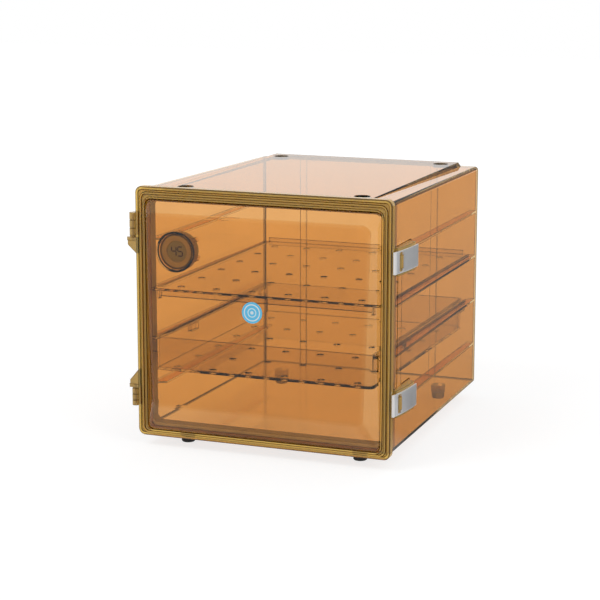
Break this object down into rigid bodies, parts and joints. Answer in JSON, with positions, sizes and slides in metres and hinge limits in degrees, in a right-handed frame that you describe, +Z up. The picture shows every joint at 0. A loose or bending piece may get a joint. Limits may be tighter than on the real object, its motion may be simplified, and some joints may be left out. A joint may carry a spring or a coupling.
{
  "type": "desiccator cabinet",
  "caption": "Bench-top desiccator cabinet: tinted see-through housing and raised door window, side latches, perforated shelf and tray, round hygrometer, rubber feet.",
  "frame": {"origin": "on the ground, in the middle plane of the housing and half way along the overall depth: the bottom centre of the cabinet's bounding box, to within 3 mm sideways because the hinges and latches stand out by different amounts", "axes": "+Z up, +Y from the door to the back, +X from the hinge side to the latch side"},
  "size_m": [0.3316, 0.3886, 0.3064],
  "materials": {
    "housing_plastic": "clear amber, glossy",
    "door_plastic": "clear amber, glossy",
    "shelf_plastic": "clear amber, glossy",
    "hinge_plastic": "clear amber, glossy",
    "latch_plastic": "clear amber, glossy",
    "gasket_rubber": "matt",
    "foot_rubber": "matt",
    "pin_steel": "bright",
    "lever_steel": "satin",
    "gauge_plastic": "satin",
    "display_glass": "glossy",
    "label_film": "glossy film"
  },
  "bodies": {
    "cabinet": {"housing": "housing_plastic", "mouth_gasket": "gasket_rubber", "foot_front_left": "foot_rubber", "foot_front_right": "foot_rubber", "foot_back_left": "foot_rubber", "foot_back_right": "foot_rubber", "hinge_block_upper": "hinge_plastic", "hinge_block_lower": "hinge_plastic", "hinge_pin_upper": "pin_steel", "hinge_pin_lower": "pin_steel", "latch_base_upper": "latch_plastic", "latch_base_lower": "latch_plastic", "latch_pin_upper": "pin_steel", "latch_pin_lower": "pin_steel"},
    "door": {"door": "door_plastic", "hinge_arm_upper": "hinge_plastic", "hinge_arm_lower": "hinge_plastic", "latch_keeper_upper": "latch_plastic", "latch_keeper_lower": "latch_plastic", "hygrometer_holder": "shelf_plastic", "hygrometer_case": "gauge_plastic", "hygrometer_bezel": "gauge_plastic", "hygrometer_display": "display_glass", "hygrometer_battery_cover": "gauge_plastic", "label_disc": "label_film"},
    "latch_upper": {"latch_lever_upper": "lever_steel"},
    "latch_lower": {"latch_lever_lower": "lever_steel"},
    "shelf": {"shelf": "shelf_plastic"},
    "tray": {"tray": "shelf_plastic"}
  },
  "joints": [
    {"name": "door_swing", "type": "hinge", "parent": "cabinet", "child": "door", "pos_m": [-0.1605, -0.1713, 0.16], "axis": [0, 0, -1], "range_deg": [0, 170]},
    {"name": "latch_upper_swing", "type": "hinge", "parent": "cabinet", "child": "latch_upper", "pos_m": [0.1589, -0.112, 0.236], "axis": [0, 0, 1], "range_deg": [0, 95]},
    {"name": "latch_lower_swing", "type": "hinge", "parent": "cabinet", "child": "latch_lower", "pos_m": [0.1589, -0.112, 0.075], "axis": [0, 0, 1], "range_deg": [0, 95]},
    {"name": "shelf_slide", "type": "slide", "parent": "cabinet", "child": "shelf", "axis": [0, -1, 0], "range_m": [0, 0.179]},
    {"name": "tray_slide", "type": "slide", "parent": "cabinet", "child": "tray", "axis": [0, -1, 0], "range_m": [0, 0.134]}
  ],
  "couplings": [
    {"joint": "shelf_slide", "follows": "door_swing", "m_per_rad": 0.06},
    {"joint": "tray_slide", "follows": "door_swing", "m_per_rad": 0.045}
  ]
}
